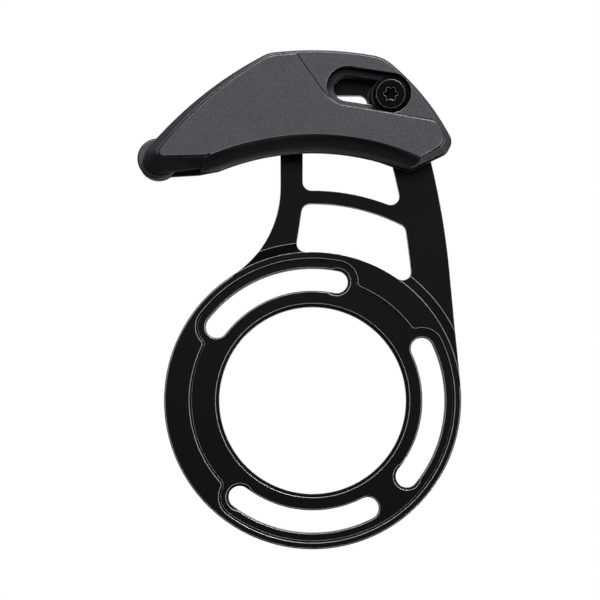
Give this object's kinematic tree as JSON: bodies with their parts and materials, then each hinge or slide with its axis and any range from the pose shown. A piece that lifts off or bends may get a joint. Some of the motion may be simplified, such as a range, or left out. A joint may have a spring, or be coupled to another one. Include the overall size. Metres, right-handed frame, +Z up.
{
  "type": "bicycle chain guide",
  "caption": "Bicycle chain guide: a slotted ring plate with a windowed arm carries a curved guide over the chainring, and the guide slides along a slot before its bolt clamps it.",
  "frame": {"origin": "centre of the large bore on the rear mounting face of the backplate", "axes": "+Y along the bore, out of the rear mounting face towards the frame; the guide's outer face looks to -Y; +Z up; +X towards the front of the bicycle"},
  "size_m": [0.088, 0.0197, 0.1351],
  "materials": {
    "black_anodised": "black anodised, satin",
    "grey_nylon": "moulded glass-filled nylon, fine grain",
    "black_steel": "black oxide"
  },
  "bodies": {
    "plate": {"backplate": "black_anodised", "guide_bolt": "black_steel", "bolt_washer": "black_steel"},
    "guide": {"outer_guide": "grey_nylon", "inner_guide": "grey_nylon", "cage_screws": "black_steel"}
  },
  "joints": [
    {"name": "guide_slide", "type": "slide", "parent": "plate", "child": "guide", "axis": [0.9885, 0, -0.1513], "range_m": [0, 0.012]}
  ]
}
